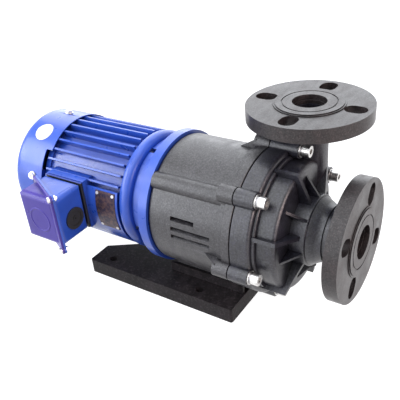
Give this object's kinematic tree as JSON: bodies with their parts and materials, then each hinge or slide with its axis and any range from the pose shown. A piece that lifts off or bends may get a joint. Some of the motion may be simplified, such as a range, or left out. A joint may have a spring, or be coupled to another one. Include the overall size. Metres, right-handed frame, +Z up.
{
  "type": "magnetic drive pump",
  "caption": "Sealed centrifugal pump with flanged plastic wet end on a bracket and base, driven through a magnet coupling by a finned blue motor.",
  "frame": {"origin": "centre of the four foot holes, on the floor under the base", "axes": "+X along the shaft towards the suction flange, +Z up, the terminal box on the -Y side"},
  "size_m": [0.46, 0.2511, 0.244],
  "materials": {
    "black_plastic": "glass-filled moulded plastic, satin",
    "flange_plastic": "moulded plastic with turned faces, satin",
    "motor_paint": "blue enamel, glossy",
    "stainless": "stainless, bright",
    "spring_steel": "dark spring steel",
    "core_steel": "laminated or turned steel, dull",
    "cast_aluminium": "cast",
    "copper_winding": "varnished copper wire",
    "brass_studs": "plain",
    "magnet": "sintered magnet, dull",
    "ceramic_white": "ground ceramic",
    "carbon": "carbon-filled, dull",
    "impeller_plastic": "moulded plastic",
    "fan_plastic": "moulded plastic",
    "black_rubber": "matt",
    "plug_plastic": "moulded plastic",
    "plate_bronze": "bare dark nameplate, satin",
    "white_label": "blank sticker, satin"
  },
  "bodies": {
    "housing": {"base_plate": "black_plastic", "bracket": "black_plastic", "front_casing": "black_plastic", "rear_casing": "black_plastic", "suction_flange": "flange_plastic", "discharge_flange": "flange_plastic", "front_end_shield": "motor_paint", "motor_frame": "motor_paint", "rear_end_shield": "motor_paint", "fan_cover": "motor_paint", "terminal_box_base": "motor_paint", "terminal_box_cover": "motor_paint", "casing_bolts": "stainless", "casing_washers": "stainless", "base_bolts": "stainless", "bracket_bolts": "stainless", "end_shield_screws": "stainless", "fan_cover_screws": "stainless", "terminal_box_screws": "stainless", "nameplate_rivets": "stainless", "bearing_outer_rings": "stainless", "wave_spring": "stainless", "casing_spring_washers": "spring_steel", "stator_core": "core_steel", "stator_windings": "copper_winding", "terminal_studs": "brass_studs", "spindle": "ceramic_white", "rear_thrust_ring": "ceramic_white", "casing_liner_ring": "ceramic_white", "terminal_board": "fan_plastic", "casing_o_ring": "black_rubber", "shaft_seal": "black_rubber", "terminal_box_gasket": "black_rubber", "cable_entry_plug": "black_rubber", "drain_gasket": "black_rubber", "drain_plug": "plug_plastic", "nameplate": "plate_bronze", "round_label": "white_label"},
    "motor_rotor": {"motor_shaft": "stainless", "rotor_core": "core_steel", "rotor_end_rings": "cast_aluminium", "bearing_inner_rings": "stainless", "bearing_balls": "stainless", "cooling_fan": "fan_plastic", "fan_clip": "spring_steel", "drive_magnet_yoke": "core_steel", "drive_magnets": "magnet", "yoke_key": "stainless", "yoke_end_washer": "stainless", "yoke_end_screw": "stainless"},
    "impeller_rotor": {"impeller": "impeller_plastic", "magnet_capsule": "black_plastic", "driven_magnets": "magnet", "bearing_bush": "carbon", "impeller_mouth_ring": "carbon"}
  },
  "joints": [
    {"name": "motor_spin", "type": "hinge", "parent": "housing", "child": "motor_rotor", "pos_m": [0, 0, 0.115], "axis": [1, 0, 0], "continuous": true},
    {"name": "impeller_spin", "type": "hinge", "parent": "housing", "child": "impeller_rotor", "pos_m": [0, 0, 0.115], "axis": [1, 0, 0], "continuous": true}
  ],
  "couplings": [
    {"joint": "impeller_spin", "follows": "motor_spin", "ratio": 1}
  ]
}
